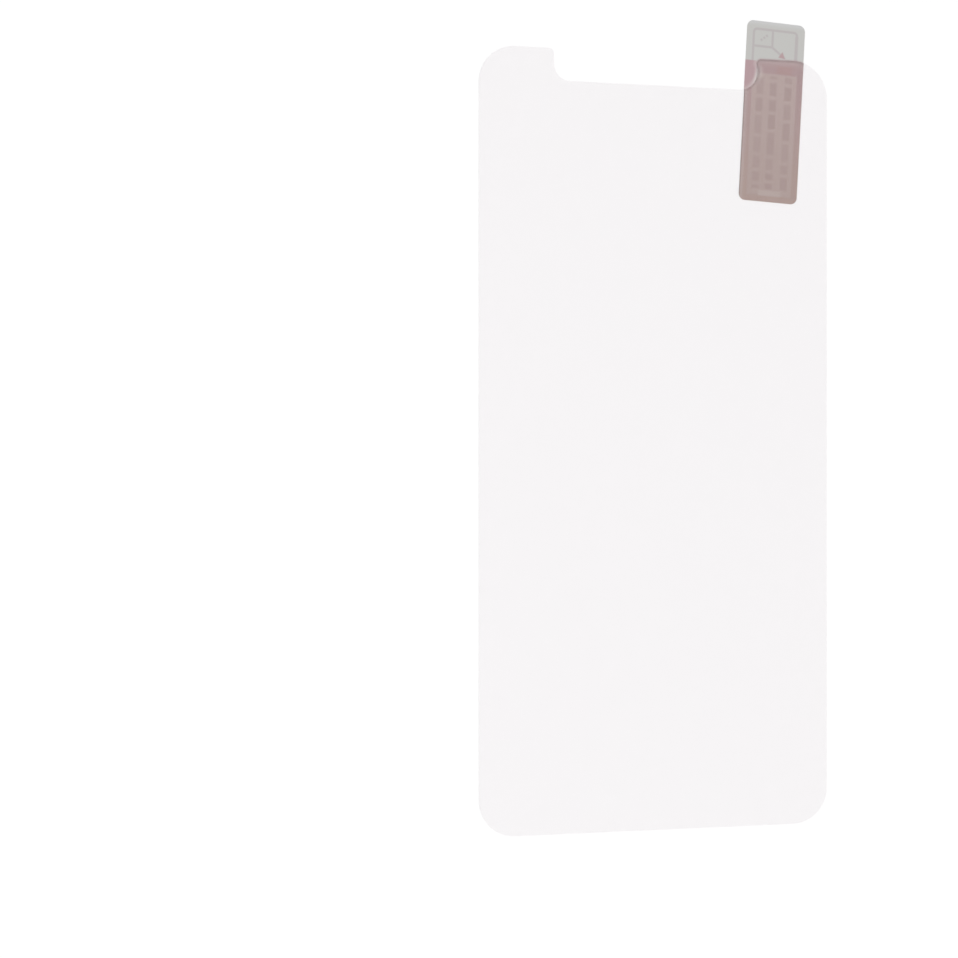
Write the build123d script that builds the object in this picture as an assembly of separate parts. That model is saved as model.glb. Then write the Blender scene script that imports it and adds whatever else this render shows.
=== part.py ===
from build123d import *
import os

# Screen protector for a notched phone: a tempered glass pane, the clear release liner that covers its
# adhesive back, and the printed pull tab stuck to the liner. Millimetres, +Y towards the notch,
# +Z out of the front face. The origin is the centre of the outline on the bond face, the glass's back.

# Glass pane
PANE_WIDTH = 66.0
PANE_LENGTH = 139.0
PANE_THICKNESS = 0.33
CORNER_RADIUS = 6.6

# Notch in the top edge, with an ear of glass on each side of it
NOTCH_WIDTH = 38.4
NOTCH_DEPTH = 5.7
NOTCH_ROOT_RADIUS = 3.0
EAR_TIP_RADIUS = 1.0

# Polished front edge: an arc that leaves the front face smoothly and ends at a narrow upright rim
EDGE_WIDTH = 0.7
RIM_HEIGHT = 0.12

# Release liner, cut back a little from the glass all round
LINER_THICKNESS = 0.1
LINER_INSET = 0.2

# Pull tab: its middle line crosses the pane's top edge near the right side and leans clockwise,
# and its grip reaches past that edge
TAB_WIDTH = 11.3
TAB_LENGTH = 32.7
TAB_THICKNESS = 0.1
TAB_CORNER_RADIUS = 1.2
TAB_GRIP = 6.8
TAB_SIDE_DISTANCE = 10.2
TAB_LEAN_DEGREES = 3.2

# How far the profile that grinds the edge reaches past the glass
GRIND_MARGIN = 0.2


def pane_outline():
    """Closed outline of the glass: a rounded rectangle with the notch in its top edge."""
    side = PANE_WIDTH / 2
    end = PANE_LENGTH / 2
    notch_side = NOTCH_WIDTH / 2
    notch_floor = end - NOTCH_DEPTH
    right_half = [
        (side, -end, CORNER_RADIUS),
        (side, end, CORNER_RADIUS),
        (notch_side, end, EAR_TIP_RADIUS),
        (notch_side, notch_floor, NOTCH_ROOT_RADIUS),
    ]
    left_half = [(-x, y, radius) for x, y, radius in reversed(right_half)]
    corners = right_half + left_half
    points = [(x, y) for x, y, radius in corners]
    radii = [radius for x, y, radius in corners]
    return FilletPolyline(points, radius=radii, close=True)


def edge_waste(outline):
    """Ring of glass ground away round the front edge, which leaves the polished arc and the rim."""
    path = outline.wire()
    start = path @ 0
    along = path % 0
    outward = along.cross(Vector(0, 0, 1))
    arc_start = (-EDGE_WIDTH, PANE_THICKNESS)
    arc_end = (0, RIM_HEIGHT)
    over_top = PANE_THICKNESS + GRIND_MARGIN
    arc = TangentArc(arc_start, arc_end, tangent=(1, 0))
    rest = Polyline(arc_end, (GRIND_MARGIN, RIM_HEIGHT), (GRIND_MARGIN, over_top),
                    (-EDGE_WIDTH, over_top), arc_start)
    section = Plane(origin=start, x_dir=outward, z_dir=-along) * make_face([arc, rest])
    return sweep(section, path=path)


def glass_pane():
    """Flat tempered glass with its polished front edge."""
    outline = pane_outline()
    blank = extrude(make_face(outline), PANE_THICKNESS)
    return blank - edge_waste(outline)


def release_liner():
    """Clear film over the adhesive back, to the glass's outline less the inset."""
    film = offset(make_face(pane_outline()), -LINER_INSET)
    return extrude(film, -LINER_THICKNESS)


def pull_tab():
    """Printed film stuck to the liner's underside, with its grip past the pane's top edge."""
    film = extrude(RectangleRounded(TAB_WIDTH, TAB_LENGTH, TAB_CORNER_RADIUS), -TAB_THICKNESS)
    crossing = Pos(PANE_WIDTH / 2 - TAB_SIDE_DISTANCE, PANE_LENGTH / 2, -LINER_THICKNESS)
    lean = Rot(0, 0, -TAB_LEAN_DEGREES)
    slide_to_grip = Pos(0, TAB_GRIP - TAB_LENGTH / 2, 0)
    return crossing * lean * slide_to_grip * film


os.makedirs("parts", exist_ok=True)
export_step(glass_pane(), "parts/glass_pane.step")
export_step(release_liner(), "parts/release_liner.step")
export_step(pull_tab(), "parts/pull_tab.step")
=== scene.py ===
import math

import bmesh
import bpy
from mathutils import Matrix, Vector


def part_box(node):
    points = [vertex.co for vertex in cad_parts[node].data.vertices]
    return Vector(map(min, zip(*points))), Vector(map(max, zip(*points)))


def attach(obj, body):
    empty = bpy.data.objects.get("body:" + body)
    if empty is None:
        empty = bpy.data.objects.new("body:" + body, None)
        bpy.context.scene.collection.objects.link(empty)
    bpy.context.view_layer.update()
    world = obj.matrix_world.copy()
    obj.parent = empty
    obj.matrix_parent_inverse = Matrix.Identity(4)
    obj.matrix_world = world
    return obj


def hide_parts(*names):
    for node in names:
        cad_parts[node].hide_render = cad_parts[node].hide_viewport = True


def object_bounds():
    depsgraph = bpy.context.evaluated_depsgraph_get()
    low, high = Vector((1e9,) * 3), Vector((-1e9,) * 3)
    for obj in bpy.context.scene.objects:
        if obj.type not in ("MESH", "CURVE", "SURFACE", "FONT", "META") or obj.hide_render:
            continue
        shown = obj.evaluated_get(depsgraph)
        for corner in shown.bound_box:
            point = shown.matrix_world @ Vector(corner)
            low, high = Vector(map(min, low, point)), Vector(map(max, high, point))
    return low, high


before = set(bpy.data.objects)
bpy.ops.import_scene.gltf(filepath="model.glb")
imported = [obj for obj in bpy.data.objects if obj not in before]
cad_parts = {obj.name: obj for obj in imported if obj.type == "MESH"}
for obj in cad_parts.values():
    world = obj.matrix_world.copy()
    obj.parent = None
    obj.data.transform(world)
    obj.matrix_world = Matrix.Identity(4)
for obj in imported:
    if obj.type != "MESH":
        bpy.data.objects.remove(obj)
cad_low, cad_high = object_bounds()

MM = 0.001

# Glass outline and polished edge, as the solid has them
CORNER_RADIUS = 6.6 * MM
NOTCH_WIDTH = 38.4 * MM
NOTCH_DEPTH = 5.7 * MM
NOTCH_ROOT_RADIUS = 3.0 * MM
EAR_TIP_RADIUS = 1.0 * MM
EDGE_WIDTH = 0.7 * MM
RIM_HEIGHT = 0.12 * MM

# Pull tab, as the solid has it
TAB_WIDTH = 11.3 * MM
TAB_LENGTH = 32.7 * MM
TAB_CORNER_RADIUS = 1.2 * MM
TAB_LEAN = math.radians(3.2)

# Coat of adhesive on each side of the liner, which keeps the films' faces apart
ADHESIVE_COAT = 0.005 * MM

# Glass: its tint, how much it bends light, what it lets through to things under it, the scale and detail
# of its haze, and the roughness and clearness of its polished faces and of its ground rim. A face belongs
# to the rim where its normal rises by less than the upright slope
GLASS_TINT = 0.946, 0.927, 0.9365, 1.0
GLASS_IOR = 1.51
GLASS_SHADE = 0.98, 0.98, 0.98, 1.0
GLASS_HAZE = 60.0, 3.0
POLISHED_ROUGHNESS = 0.0, 0.03
POLISHED_CLEARNESS = 1.0
GROUND_ROUGHNESS = 0.55, 0.65
GROUND_CLEARNESS = 0.4
UPRIGHT_SLOPE = 0.5

# Clear liner: its colour, the scale and detail of its haze, its roughness and how solid it looks
LINER_COLOUR = 0.9, 0.9, 0.9, 1.0
LINER_HAZE = 200.0, 2.0
LINER_ROUGHNESS = 0.1, 0.25
LINER_ALPHA = 0.02

# Tab: its worn cut edge, the scale and detail of its film's grain, its roughness and how solid it looks
TAB_BEVEL = 0.015 * MM
TAB_GRAIN = 1.6, 4.0
TAB_ROUGHNESS = 0.28, 0.42
TAB_ALPHA = 0.9

# Mesh fineness
ARC_STEP = math.radians(3.0)
EDGE_STEPS = 10
FLAT_MARGIN = 0.02 * MM
SHARP_ANGLE = math.radians(25)

# Places in the frame
PANE_LOW, PANE_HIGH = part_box("glass_pane")
LINER_LOW, LINER_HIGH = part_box("release_liner")
TAB_LOW, TAB_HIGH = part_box("pull_tab")

# Print on the tab, in millimetres from its centre: x across it, y towards its grip end. The words' shares
# and the foot's paleness are strengths of ink, and a dash's share is of its step
PRINT_TOP = 9.1
FIELD_SIDES = -4.22, 4.45
FIELD_ENDS = -15.2, 6.95
HEADING_SIDES = 0.45, 3.4
HEADING_ENDS = 7.1, 8.5
COLUMN_MIDDLES = -2.65, -0.05, 2.88
COLUMN_WIDTH = 1.35
COLUMN_SHIFT = 7.3
WORD_LENGTH = 3.2
WORD_GAP = 0.7
WORD_SHARES = 0.26, 0.46
WORDS_ENDS = -14.0, 6.5
FOOT_SIDES = -2.0, 2.4
FOOT_ENDS = -15.3, -14.3
FOOT_PALE = 0.15
FRAME_SIDES = -4.3, 4.1
FRAME_TOP = 14.9
FRAME_CORNER = 0.6
CELL_SIDE = -0.6
CELL_FLOOR = 11.8
ARROW_TIP = 2.0, 9.95
ARROW_HEAD = 1.15
ARROW_SPREAD = math.radians(30)
DASH_START = -2.9, 12.85
DASH_STEP = 0.5, 0.41
DASH_COUNT = 3
DASH_SHARE = 0.6
LINE_WIDTH = 0.42
WIDE_LINE = 0.62
SOFT_EDGE = 0.22

# Film and ink colours, and the tones of painted light and painted shade, as screen values
GRIP_FILM = 201, 200, 197
GRIP_MARGIN = 208, 208, 208
DRAWING_INK = 191, 185, 185
ARROW_INK = 187, 161, 163
BARE_INK = 186, 158, 162
BAND_INK = 176, 145, 145
HEADING_INK = 177, 141, 138
FIELD_INK = 186, 163, 158
FIELD_LOW_INK = 178, 155, 148
BORDER_LOW_INK = 175, 148, 138
WORD_INK = 153, 123, 118
# Pale ink on the foot, paler film inside the tab's left edge, and painted light along the glass's edge
PALE_INK_AND_LIGHT_TONE = 223, 216, 213
# Painted shade along the glass's edge and along the tab's edges
PAINTED_SHADE_TONE = 110, 90, 90

# Tones where the film passes under the glass, in millimetres from the glass's edge, below 0 under it: the
# ink's soft end, and a line of painted shade along the glass's edge with painted light on the film inside
# it.
# The line is set in along the notch's wall, and its darkness is given at the notch's root and elsewhere
INK_FADE = 0.4, -0.25
EDGE_SHADE_LINE = -0.4, 0.0
EDGE_SHADE_DARKNESS = 0.22, 0.37
NOTCH_INSET = 0.32
EDGE_LIGHT_REACH = -1.3
EDGE_LIGHT = 0.15
NOTCH_EDGE_LIGHT = 0.28

# Where those tones change, in millimetres past the pane's end, below 0 short of it: from the end to the
# notch's wall, from the notch's root to its wall, and where the painted light inside the line fades out
END_REACH = -0.8, -1.8
ROOT_REACH = -5.0, -2.0
EDGE_LIGHT_FADE = -5.0, -2.5

# Painted highlight on the free film beside the notch's edge, a pale strip: how wide it is, how pale away
# from its brightest place and at it, and where that place is and how far it spreads, in millimetres past the
# pane's end
NOTCH_HIGHLIGHT_REACH = 0.9
NOTCH_HIGHLIGHT = 0.35, 0.96
NOTCH_HIGHLIGHT_PEAK = -3.1
NOTCH_HIGHLIGHT_SPAN = 2.0

# Tones along the tab's own edges, in millimetres from an edge, below 0 inside it: a painted shadow along the
# left edge with paler film inside it, a painted shade band by the right edge, and the grip's paler end
CUT_EDGE = -0.22
CUT_SHADOW = 0.44
CUT_PALE_REACH = -1.0
CUT_PALE = 0.2
RIGHT_SHADE_BAND = -1.05, -0.4
RIGHT_SHADE = 0.06
MARGIN_REACH = -1.1

# Camera: the photo's, found from the pane's straight sides and the tab's square corners
VIEW_TILT = math.radians(15.244)
CAMERA_PLACE = Vector((-133.06, -6.654, 367.37)) * MM
CAMERA_LENS = 81.75
CAMERA_CLIP = 0.01

# Light, and the floor just under the tab, in metres
WHITE = 1.0, 1.0, 1.0, 1.0
WORLD_LIGHT = 0.65
KEY_PLACE = -0.4, -1.0, 2.2
KEY_SIZE = 1.4
KEY_POWER = 19.0
FILL_PLACE = -1.8, 0.3, 1.5
FILL_SIZE = 1.2
FILL_POWER = 9.0
FLOOR_SIZE = 3.0
FLOOR_GAP = 0.002 * MM
FLOOR_ALBEDO = 0.8
FLOOR_GLOW = 0.22


def linear(screen):
    """Scene colour of a screen colour given in 0 to 255."""
    shares = [value / 255 for value in screen]
    return tuple(s / 12.92 if s <= 0.04045 else ((s + 0.055) / 1.055) ** 2.4 for s in shares) + (1.0,)


def rounded_outline(corners):
    """Points and outward directions round a closed outline, given counterclockwise as corner and radius."""
    samples = []
    for index, (corner, radius) in enumerate(corners):
        before = (corner - corners[index - 1][0]).normalized()
        after = (corners[(index + 1) % len(corners)][0] - corner).normalized()
        turn = math.atan2(before.cross(after), before.dot(after))
        bulge = math.copysign(radius, turn)
        first_outward = Vector((before.y, -before.x))
        centre = corner - before * radius * math.tan(abs(turn) / 2) - first_outward * bulge
        steps = math.ceil(abs(turn) / ARC_STEP)
        for step in range(steps + 1):
            outward = first_outward.copy()
            outward.rotate(Matrix.Rotation(turn * step / steps, 2))
            samples.append((centre + outward * bulge, outward))
    return samples


def pane_outline():
    """The glass's outline: a rounded rectangle with the notch in its top edge."""
    side = PANE_HIGH.x
    end = PANE_HIGH.y
    notch_side = NOTCH_WIDTH / 2
    right_half = [
        (side, -end, CORNER_RADIUS),
        (side, end, CORNER_RADIUS),
        (notch_side, end, EAR_TIP_RADIUS),
        (notch_side, end - NOTCH_DEPTH, NOTCH_ROOT_RADIUS),
    ]
    left_half = [(-x, y, radius) for x, y, radius in reversed(right_half)]
    return rounded_outline([(Vector((x, y)), radius) for x, y, radius in right_half + left_half])


def new_piece(name, shape):
    """Object of a finished shape, smooth apart from its sharp edges."""
    for face in shape.faces:
        face.smooth = True
    mesh = bpy.data.meshes.new(name)
    shape.to_mesh(mesh)
    shape.free()
    mesh.set_sharp_from_angle(angle=SHARP_ANGLE)
    piece = bpy.data.objects.new(name, mesh)
    bpy.context.scene.collection.objects.link(piece)
    return piece


def ring_solid(name, outline, profile):
    """Closed mesh whose side wall follows the outline, inset and raised by each point of the profile."""
    shape = bmesh.new()
    rows = []
    for inset, height in profile:
        points = [point - outward * inset for point, outward in outline]
        rows.append([shape.verts.new((point.x, point.y, height)) for point in points])
    count = len(outline)
    for low, high in zip(rows, rows[1:]):
        for k in range(count):
            after = (k + 1) % count
            shape.faces.new((low[k], low[after], high[after], high[k]))
    shape.faces.new(reversed(rows[0]))
    shape.faces.new(rows[-1])
    return new_piece(name, shape)


def add(tree, kind, sockets=None, **settings):
    """New node with its settings, and with values or links on its input sockets."""
    made = tree.nodes.new(kind)
    for setting, value in settings.items():
        setattr(made, setting, value)
    for socket, value in (sockets or {}).items():
        if isinstance(value, bpy.types.NodeSocket):
            tree.links.new(value, made.inputs[socket])
        else:
            made.inputs[socket].default_value = value
    return made


def calc(tree, operation, *values):
    """Result of a Math node."""
    return add(tree, "ShaderNodeMath", dict(enumerate(values)), operation=operation).outputs[0]


def blend(tree, share, first, second):
    """Colour between two colours."""
    made = add(tree, "ShaderNodeMix", {0: share, 6: first, 7: second}, data_type="RGBA")
    return made.outputs[2]


def ramp(tree, value, low, high):
    """0 at low, 1 at high, smooth between them."""
    sockets = {"Value": value, "From Min": low, "From Max": high}
    return add(tree, "ShaderNodeMapRange", sockets, interpolation_type="SMOOTHSTEP").outputs[0]


def spread(tree, share, low, high):
    """Low where the share is 0 and high where it is 1."""
    sockets = {"Value": share, "To Min": low, "To Max": high}
    return add(tree, "ShaderNodeMapRange", sockets).outputs[0]


def noise(tree, place, scale, detail):
    """Cloudy pattern of values from 0 to 1."""
    sockets = {"Vector": place, "Scale": scale, "Detail": detail}
    return add(tree, "ShaderNodeTexNoise", sockets).outputs[0]


def within(tree, value, low, high):
    """1 where the value lies between low and high, with a soft edge."""
    from_middle = calc(tree, "ABSOLUTE", calc(tree, "SUBTRACT", value, (low + high) / 2))
    half = (high - low) / 2
    return ramp(tree, from_middle, half + SOFT_EDGE / 2, half - SOFT_EDGE / 2)


def patch(tree, axes, sides, ends):
    """1 on a rectangle of print."""
    across = within(tree, axes.outputs["X"], *sides)
    return calc(tree, "MULTIPLY", across, within(tree, axes.outputs["Y"], *ends))


def turned_axes(tree, place, origin, along):
    """Distances from the origin along a direction and across it."""
    across = Vector((-along.y, along.x, 0))
    offset = add(tree, "ShaderNodeVectorMath", {0: place, 1: origin}, operation="SUBTRACT").outputs[0]
    products = [add(tree, "ShaderNodeVectorMath", {0: offset, 1: axis}, operation="DOT_PRODUCT")
                for axis in (along, across)]
    return [product.outputs["Value"] for product in products]


def stroke(tree, place, start, end, width):
    """1 on a straight line of print from start to end."""
    start = Vector(start).to_3d()
    end = Vector(end).to_3d()
    half = (end - start).length / 2
    lengthways, sideways = turned_axes(tree, place, (start + end) / 2, (end - start).normalized())
    return calc(tree, "MULTIPLY", within(tree, lengthways, -half, half),
                within(tree, sideways, -width / 2, width / 2))


def arrow_head(tree, place, tip, tail):
    """1 on a filled arrow head that points from the tail to the tip."""
    back = (tail - tip).normalized().to_3d()
    lengthways, sideways = turned_axes(tree, place, tip.to_3d(), back)
    flank = calc(tree, "MULTIPLY", lengthways, math.tan(ARROW_SPREAD))
    past_flank = calc(tree, "SUBTRACT", calc(tree, "ABSOLUTE", sideways), flank)
    return calc(tree, "MULTIPLY", within(tree, lengthways, 0, ARROW_HEAD),
                ramp(tree, past_flank, SOFT_EDGE / 2, -SOFT_EDGE / 2))


def start_material(name):
    """New empty material, its node tree and its output node."""
    material = bpy.data.materials.new(name)
    material.use_nodes = True
    tree = material.node_tree
    tree.nodes.clear()
    return material, tree, tree.nodes.new("ShaderNodeOutputMaterial")


def glass_material(name, roughness, clearness):
    """Glass with a faint tint that lets light through to what is under it, unevenly rough within a range."""
    material, tree, output = start_material(name)
    place = add(tree, "ShaderNodeTexCoord").outputs["Object"]
    haze = noise(tree, place, *GLASS_HAZE)
    glass = add(tree, "ShaderNodeBsdfPrincipled", {
        "Base Color": GLASS_TINT,
        "Roughness": spread(tree, haze, *roughness),
        "IOR": GLASS_IOR,
        "Transmission Weight": clearness,
    })
    clear = add(tree, "ShaderNodeBsdfTransparent", {"Color": GLASS_SHADE})
    rays = add(tree, "ShaderNodeLightPath")
    indirect = add(tree, "ShaderNodeMixShader", {
        0: rays.outputs["Is Diffuse Ray"],
        1: glass.outputs[0],
        2: clear.outputs[0],
    })
    mixed = add(tree, "ShaderNodeMixShader", {
        0: rays.outputs["Is Shadow Ray"],
        1: indirect.outputs[0],
        2: clear.outputs[0],
    })
    tree.links.new(mixed.outputs[0], output.inputs["Surface"])
    return material


def liner_material():
    """Clear gloss film."""
    material, tree, output = start_material("clear_liner")
    place = add(tree, "ShaderNodeTexCoord").outputs["Object"]
    haze = noise(tree, place, *LINER_HAZE)
    film = add(tree, "ShaderNodeBsdfPrincipled", {
        "Base Color": LINER_COLOUR,
        "Roughness": spread(tree, haze, *LINER_ROUGHNESS),
        "Alpha": LINER_ALPHA,
    })
    tree.links.new(film.outputs[0], output.inputs["Surface"])
    return material


def rounded(tree, first, second, radius):
    """Distance from a corner with a radius, worked out from the distances from its two sides."""
    first = calc(tree, "ADD", first, radius)
    second = calc(tree, "ADD", second, radius)
    square = calc(tree, "POWER", calc(tree, "MAXIMUM", first, 0.0), 2.0)
    other_square = calc(tree, "POWER", calc(tree, "MAXIMUM", second, 0.0), 2.0)
    outside = calc(tree, "SQRT", calc(tree, "ADD", square, other_square))
    inside = calc(tree, "MINIMUM", calc(tree, "MAXIMUM", first, second), 0.0)
    return calc(tree, "SUBTRACT", calc(tree, "ADD", outside, inside), radius)


def glass_distance(tree, place, tab_middle):
    """Millimetres from the glass's edge near the tab and from its end, below 0 under the glass."""
    sockets = {"Vector": place, "Location": tab_middle / MM, "Rotation": (0, 0, -TAB_LEAN)}
    axes = add(tree, "ShaderNodeSeparateXYZ", {0: add(tree, "ShaderNodeMapping", sockets).outputs[0]})
    across = axes.outputs["X"]
    along = axes.outputs["Y"]
    past_side = calc(tree, "SUBTRACT", across, PANE_HIGH.x / MM)
    past_end = calc(tree, "SUBTRACT", along, PANE_HIGH.y / MM)
    in_notch = calc(tree, "SUBTRACT", NOTCH_WIDTH / MM / 2, across)
    over_floor = calc(tree, "SUBTRACT", along, (PANE_HIGH.y - NOTCH_DEPTH) / MM)
    corner = rounded(tree, past_side, past_end, CORNER_RADIUS / MM)
    ear = calc(tree, "MAXIMUM", corner, rounded(tree, in_notch, past_end, EAR_TIP_RADIUS / MM))
    off_ear = calc(tree, "MULTIPLY", ear, -1.0)
    off_floor = calc(tree, "MULTIPLY", over_floor, -1.0)
    off_glass = rounded(tree, off_ear, off_floor, NOTCH_ROOT_RADIUS / MM)
    return calc(tree, "MULTIPLY", off_glass, -1.0), past_end


def bond_distance(tree, place, tab_middle):
    """Millimetres from the bond's edge, which is set in along the notch's wall, and from the pane's end."""
    glass, past_end = glass_distance(tree, place, tab_middle)
    at_notch = ramp(tree, past_end, *END_REACH)
    off_root = ramp(tree, past_end, *ROOT_REACH)
    inset = calc(tree, "MULTIPLY", calc(tree, "MULTIPLY", at_notch, off_root), NOTCH_INSET)
    return calc(tree, "ADD", glass, inset), past_end


def highest(tree, masks):
    """The masks laid over each other."""
    result = masks[0]
    for mask in masks[1:]:
        result = calc(tree, "MAXIMUM", result, mask)
    return result


def frame_line(tree, axes):
    """1 on the drawing's frame, round at its two top corners."""
    left, right = FRAME_SIDES
    from_middle = calc(tree, "ABSOLUTE", calc(tree, "SUBTRACT", axes.outputs["X"], (left + right) / 2))
    past_side = calc(tree, "SUBTRACT", from_middle, (right - left) / 2)
    past_top = calc(tree, "SUBTRACT", axes.outputs["Y"], FRAME_TOP)
    return within(tree, rounded(tree, past_side, past_top, FRAME_CORNER), -LINE_WIDTH / 2, LINE_WIDTH / 2)


def grip_colour(tree, place, axes):
    """Clear grey film, paler at its end, with a line drawing: a frame, a cell with dashes and an arrow."""
    left, right = FRAME_SIDES
    cell_corner = Vector((CELL_SIDE, CELL_FLOOR))
    tip = Vector(ARROW_TIP)
    runs = [
        ((CELL_SIDE, CELL_FLOOR), (CELL_SIDE, FRAME_TOP)),
        ((left, CELL_FLOOR), (CELL_SIDE, CELL_FLOOR)),
        (cell_corner, tip),
    ]
    for k in range(DASH_COUNT):
        start = Vector(DASH_START) + Vector(DASH_STEP) * k
        runs.append((start, start + Vector(DASH_STEP) * DASH_SHARE))
    strokes = [stroke(tree, place, start, end, LINE_WIDTH) for start, end in runs]
    strokes.append(stroke(tree, place, (right, PRINT_TOP), (right, FRAME_TOP - FRAME_CORNER), WIDE_LINE))
    drawing = highest(tree, strokes + [frame_line(tree, axes)])
    past_end = calc(tree, "SUBTRACT", axes.outputs["Y"], TAB_LENGTH / MM / 2)
    film = blend(tree, ramp(tree, past_end, MARGIN_REACH, 0.0), linear(GRIP_FILM), linear(GRIP_MARGIN))
    film = blend(tree, drawing, film, linear(DRAWING_INK))
    return blend(tree, arrow_head(tree, place, tip, cell_corner), film, linear(ARROW_INK))


def word_column(tree, axes, middle, shift):
    """One column of bars as long as words, each a little lighter or darker than the next."""
    in_column = within(tree, axes.outputs["X"], middle - COLUMN_WIDTH / 2, middle + COLUMN_WIDTH / 2)
    sockets = {"W": calc(tree, "MULTIPLY_ADD", axes.outputs["Y"], 1 / WORD_LENGTH, shift), "Scale": 1.0}
    ends = add(tree, "ShaderNodeTexVoronoi", sockets, voronoi_dimensions="1D", feature="DISTANCE_TO_EDGE")
    words = add(tree, "ShaderNodeTexVoronoi", sockets, voronoi_dimensions="1D")
    half_gap = WORD_GAP / WORD_LENGTH / 2
    soft = SOFT_EDGE / WORD_LENGTH / 2
    in_word = ramp(tree, ends.outputs["Distance"], half_gap - soft, half_gap + soft)
    shade = add(tree, "ShaderNodeSeparateColor", {0: words.outputs["Color"]}).outputs[0]
    strength = spread(tree, shade, *WORD_SHARES)
    return calc(tree, "MULTIPLY", calc(tree, "MULTIPLY", in_column, in_word), strength)


def word_bars(tree, axes):
    """The columns of bars, each starting at another place in the same run of words."""
    columns = [word_column(tree, axes, middle, number * COLUMN_SHIFT)
               for number, middle in enumerate(COLUMN_MIDDLES)]
    return calc(tree, "MULTIPLY", highest(tree, columns), within(tree, axes.outputs["Y"], *WORDS_ENDS))


def print_colour(tree, axes, stuck):
    """Rose-grey ink, darker where stuck: a band with a heading bar over a paler field of bars."""
    along = axes.outputs["Y"]
    low = ramp(tree, along, FIELD_ENDS[1], FIELD_ENDS[0])
    ink = blend(tree, low, linear(BAND_INK), linear(BORDER_LOW_INK))
    ink = blend(tree, patch(tree, axes, HEADING_SIDES, HEADING_ENDS), ink, linear(HEADING_INK))
    field = blend(tree, low, linear(FIELD_INK), linear(FIELD_LOW_INK))
    ink = blend(tree, patch(tree, axes, FIELD_SIDES, FIELD_ENDS), ink, field)
    ink = blend(tree, word_bars(tree, axes), ink, linear(WORD_INK))
    foot = calc(tree, "MULTIPLY", patch(tree, axes, FOOT_SIDES, FOOT_ENDS), FOOT_PALE)
    ink = blend(tree, foot, ink, linear(PALE_INK_AND_LIGHT_TONE))
    return blend(tree, stuck, linear(BARE_INK), ink)


def edge_light_and_shade(tree, bond, past_end, stuck, below_top):
    """Shares of painted light and painted shade along the bond's edge: a line of painted shade, with painted
    light on the film on both sides of it.
    """
    # Painted light on the stuck film inside the line of painted shade, stronger by the notch
    inside = calc(tree, "MULTIPLY", ramp(tree, bond, EDGE_LIGHT_REACH, EDGE_SHADE_LINE[0]), stuck)
    inside_light = spread(tree, ramp(tree, past_end, *END_REACH), EDGE_LIGHT, NOTCH_EDGE_LIGHT)
    inside_light = calc(tree, "MULTIPLY", inside_light, ramp(tree, past_end, *EDGE_LIGHT_FADE))
    # Painted highlight on the free film beside the notch's edge, brightest at its peak
    free = calc(tree, "MULTIPLY", calc(tree, "SUBTRACT", 1.0, stuck), below_top)
    beside = calc(tree, "MULTIPLY", ramp(tree, bond, NOTCH_HIGHLIGHT_REACH, 0.0), free)
    from_peak = calc(tree, "ABSOLUTE", calc(tree, "SUBTRACT", past_end, NOTCH_HIGHLIGHT_PEAK))
    beside_highlight = spread(tree, ramp(tree, from_peak, NOTCH_HIGHLIGHT_SPAN, 0.0), *NOTCH_HIGHLIGHT)
    pale = highest(tree, [
        calc(tree, "MULTIPLY", inside, inside_light),
        calc(tree, "MULTIPLY", beside, beside_highlight),
    ])
    # Painted shade: a dark line along the glass's edge, fainter at the notch's root
    line_shade = spread(tree, ramp(tree, past_end, *ROOT_REACH), *EDGE_SHADE_DARKNESS)
    return pale, calc(tree, "MULTIPLY", within(tree, bond, *EDGE_SHADE_LINE), line_shade)


def cut_tones(tree, axes, stuck):
    """Pale and dark shares along the stuck film's edges: a painted shadow along the left edge with paler
    film inside it, and a painted shade by the right one.
    """
    across = axes.outputs["X"]
    from_left = calc(tree, "SUBTRACT", -TAB_WIDTH / MM / 2, across)
    from_right = calc(tree, "SUBTRACT", across, TAB_WIDTH / MM / 2)
    pale = calc(tree, "MULTIPLY", ramp(tree, from_left, CUT_PALE_REACH, CUT_EDGE), CUT_PALE)
    # Painted shadow along the left edge, and painted shade in a band by the right edge
    left_shadow = calc(tree, "MULTIPLY", within(tree, from_left, CUT_EDGE, -CUT_EDGE), CUT_SHADOW)
    shade = calc(tree, "MULTIPLY", within(tree, from_right, *RIGHT_SHADE_BAND), RIGHT_SHADE)
    dark = calc(tree, "MAXIMUM", left_shadow, shade)
    return calc(tree, "MULTIPLY", pale, stuck), calc(tree, "MULTIPLY", dark, stuck)


def tab_colour(tree, place, tab_middle):
    """Colour of the tab: its clear grip, its printed part, and the tones along its edges, painted light and
    painted shade among them.
    """
    axes = add(tree, "ShaderNodeSeparateXYZ", {0: place})
    bond, past_end = bond_distance(tree, place, tab_middle)
    stuck = ramp(tree, bond, SOFT_EDGE / 2, -SOFT_EDGE / 2)
    below_top = ramp(tree, axes.outputs["Y"], PRINT_TOP + SOFT_EDGE / 2, PRINT_TOP - SOFT_EDGE / 2)
    printed = calc(tree, "MAXIMUM", below_top, ramp(tree, bond, *INK_FADE))
    film = blend(tree, printed, grip_colour(tree, place, axes), print_colour(tree, axes, stuck))
    painted_edge_light, painted_edge_shade = edge_light_and_shade(tree, bond, past_end, stuck, below_top)
    cut_pale, cut_shadow = cut_tones(tree, axes, stuck)
    # Paler film and painted light along the edges, then painted shade along them, laid over the film's
    # colour
    film = blend(tree, calc(tree, "MAXIMUM", painted_edge_light, cut_pale), film, linear(PALE_INK_AND_LIGHT_TONE))
    return blend(tree, calc(tree, "MAXIMUM", painted_edge_shade, cut_shadow), film, linear(PAINTED_SHADE_TONE))


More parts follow.
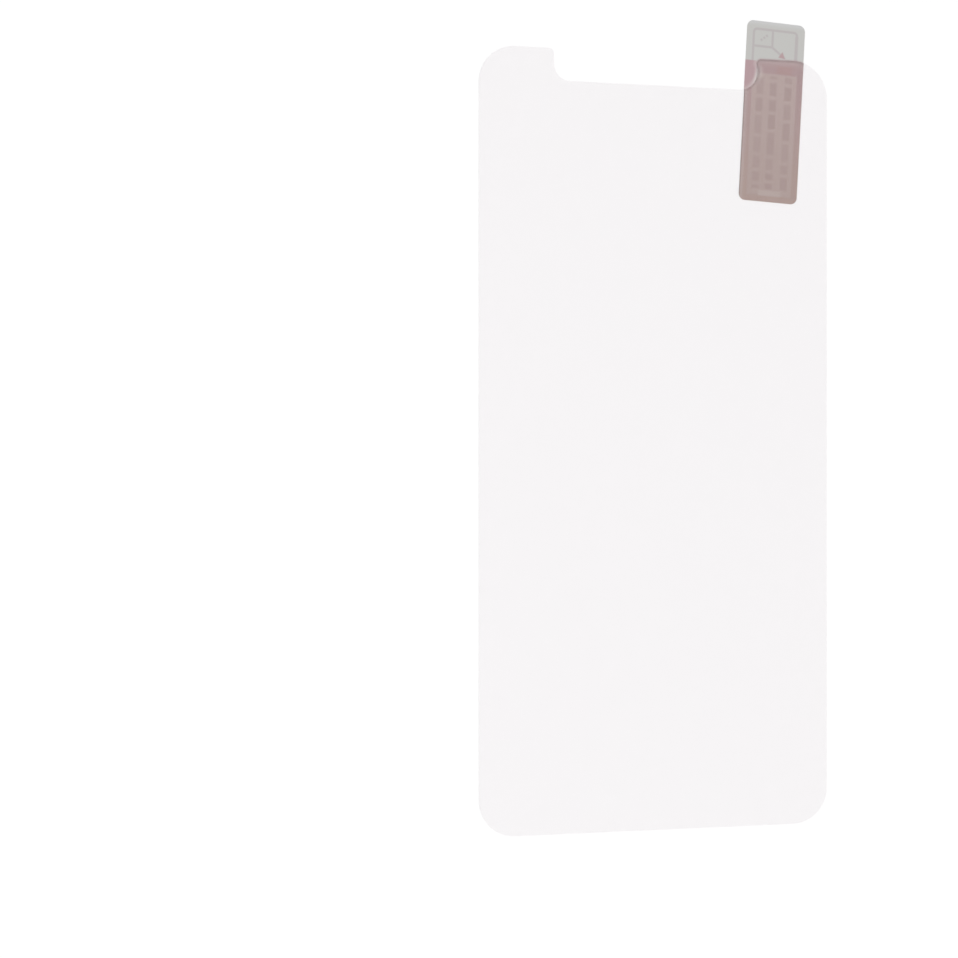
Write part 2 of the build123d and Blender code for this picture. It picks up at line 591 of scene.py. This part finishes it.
def tab_material(tab_middle):
    """Translucent film with its print, and painted light and shade along its edges."""
    material, tree, output = start_material("printed_tab_film")
    metres = add(tree, "ShaderNodeTexCoord").outputs["Object"]
    place = add(tree, "ShaderNodeVectorMath", {0: metres, "Scale": 1 / MM}, operation="SCALE").outputs[0]
    colour = tab_colour(tree, place, tab_middle)
    grain = noise(tree, place, *TAB_GRAIN)
    film = add(tree, "ShaderNodeBsdfPrincipled", {
        "Base Color": colour,
        "Roughness": spread(tree, grain, *TAB_ROUGHNESS),
        "Alpha": TAB_ALPHA,
    })
    tree.links.new(film.outputs[0], output.inputs["Surface"])
    return material


def white_rays(tree):
    """1 for the rays that show the background: from the camera, off gloss and through glass."""
    rays = add(tree, "ShaderNodeLightPath")
    seen = calc(tree, "MAXIMUM", rays.outputs["Is Camera Ray"], rays.outputs["Is Glossy Ray"])
    return calc(tree, "MAXIMUM", seen, rays.outputs["Is Transmission Ray"])


def floor_material():
    """White floor that keeps the object's shadow."""
    material, tree, output = start_material("white_floor")
    matt = add(tree, "ShaderNodeBsdfDiffuse", {"Color": (FLOOR_ALBEDO,) * 3 + (1.0,)})
    strength = calc(tree, "MULTIPLY", white_rays(tree), FLOOR_GLOW)
    glow = add(tree, "ShaderNodeEmission", {"Strength": strength})
    both = add(tree, "ShaderNodeAddShader", {0: matt.outputs[0], 1: glow.outputs[0]})
    tree.links.new(both.outputs[0], output.inputs["Surface"])
    return material


def light_world():
    """White background, and an even soft light on the object."""
    world = bpy.data.worlds.new("studio")
    world.use_nodes = True
    tree = world.node_tree
    tree.nodes.clear()
    strength = spread(tree, white_rays(tree), WORLD_LIGHT, 1.0)
    background = add(tree, "ShaderNodeBackground", {"Color": WHITE, "Strength": strength})
    add(tree, "ShaderNodeOutputWorld", {"Surface": background.outputs[0]})
    bpy.context.scene.world = world


def softbox(name, place, size, power):
    """Square area lamp aimed at the object, not mirrored in the polished glass."""
    lamp = bpy.data.lights.new(name, "AREA")
    lamp.size = size
    lamp.energy = power
    holder = bpy.data.objects.new(name, lamp)
    holder.location = place
    holder.rotation_euler = (-Vector(place)).to_track_quat("-Z", "Y").to_euler()
    holder.visible_glossy = False
    holder.visible_transmission = False
    bpy.context.scene.collection.objects.link(holder)


def make_camera():
    """The photo's camera, looking down on the pane."""
    lens = bpy.data.cameras.new("camera")
    lens.lens = CAMERA_LENS
    lens.clip_start = CAMERA_CLIP
    camera = bpy.data.objects.new("camera", lens)
    camera.location = CAMERA_PLACE
    camera.rotation_euler = (0, -VIEW_TILT, 0)
    bpy.context.scene.collection.objects.link(camera)
    bpy.context.scene.camera = camera


def make_pane():
    """Glass with its polished curved front edge and narrow upright rim."""
    top = PANE_HIGH.z
    drop = top - RIM_HEIGHT
    radius = (EDGE_WIDTH ** 2 + drop ** 2) / (2 * drop)
    sweep = math.asin(EDGE_WIDTH / radius)
    profile = [(0, PANE_LOW.z)]
    for step in range(EDGE_STEPS + 1):
        angle = sweep * (1 - step / EDGE_STEPS)
        profile.append((EDGE_WIDTH - radius * math.sin(angle), top - radius * (1 - math.cos(angle))))
    profile.append((EDGE_WIDTH + FLAT_MARGIN, top))
    pane = ring_solid("polished_pane", pane_outline(), profile)
    pane.data.materials.append(glass_material("polished_glass", POLISHED_ROUGHNESS, POLISHED_CLEARNESS))
    pane.data.materials.append(glass_material("ground_glass", GROUND_ROUGHNESS, GROUND_CLEARNESS))
    for face in pane.data.polygons:
        face.material_index = int(abs(face.normal.z) < UPRIGHT_SLOPE)
    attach(pane, "root")
    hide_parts("glass_pane")


def make_liner():
    """Clear film under the glass, thinner by an adhesive coat on each side of it."""
    inset = PANE_HIGH.x - LINER_HIGH.x
    profile = [(inset, LINER_LOW.z + ADHESIVE_COAT), (inset, LINER_HIGH.z - ADHESIVE_COAT)]
    liner = ring_solid("clear_liner", pane_outline(), profile)
    liner.data.materials.append(liner_material())
    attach(liner, "root")
    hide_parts("release_liner")


def make_tab():
    """Printed film stuck under the liner. Its own axes lie along and across it."""
    across = TAB_WIDTH / 2
    along = TAB_LENGTH / 2
    signs = [(-1, -1), (1, -1), (1, 1), (-1, 1)]
    corners = [(Vector((x * across, y * along)), TAB_CORNER_RADIUS) for x, y in signs]
    height = TAB_HIGH.z - TAB_LOW.z
    profile = [(TAB_BEVEL, 0), (0, TAB_BEVEL), (0, height - TAB_BEVEL), (TAB_BEVEL, height)]
    middle = (TAB_LOW + TAB_HIGH) / 2
    tab = ring_solid("printed_tab", rounded_outline(corners), profile)
    tab.location = (middle.x, middle.y, TAB_LOW.z)
    tab.rotation_euler = (0, 0, -TAB_LEAN)
    tab.data.materials.append(tab_material(middle))
    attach(tab, "root")
    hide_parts("pull_tab")


def make_floor():
    """Wide plain floor just under the tab."""
    shape = bmesh.new()
    bmesh.ops.create_grid(shape, x_segments=1, y_segments=1, size=FLOOR_SIZE)
    mesh = bpy.data.meshes.new("floor")
    shape.to_mesh(mesh)
    shape.free()
    floor = bpy.data.objects.new("floor", mesh)
    floor.location.z = cad_low.z - FLOOR_GAP
    floor.data.materials.append(floor_material())
    bpy.context.scene.collection.objects.link(floor)


make_camera()
make_floor()
light_world()
softbox("key_softbox", KEY_PLACE, KEY_SIZE, KEY_POWER)
softbox("fill_softbox", FILL_PLACE, FILL_SIZE, FILL_POWER)
make_pane()
make_liner()
make_tab()

bpy.context.scene.view_settings.view_transform = "Standard"
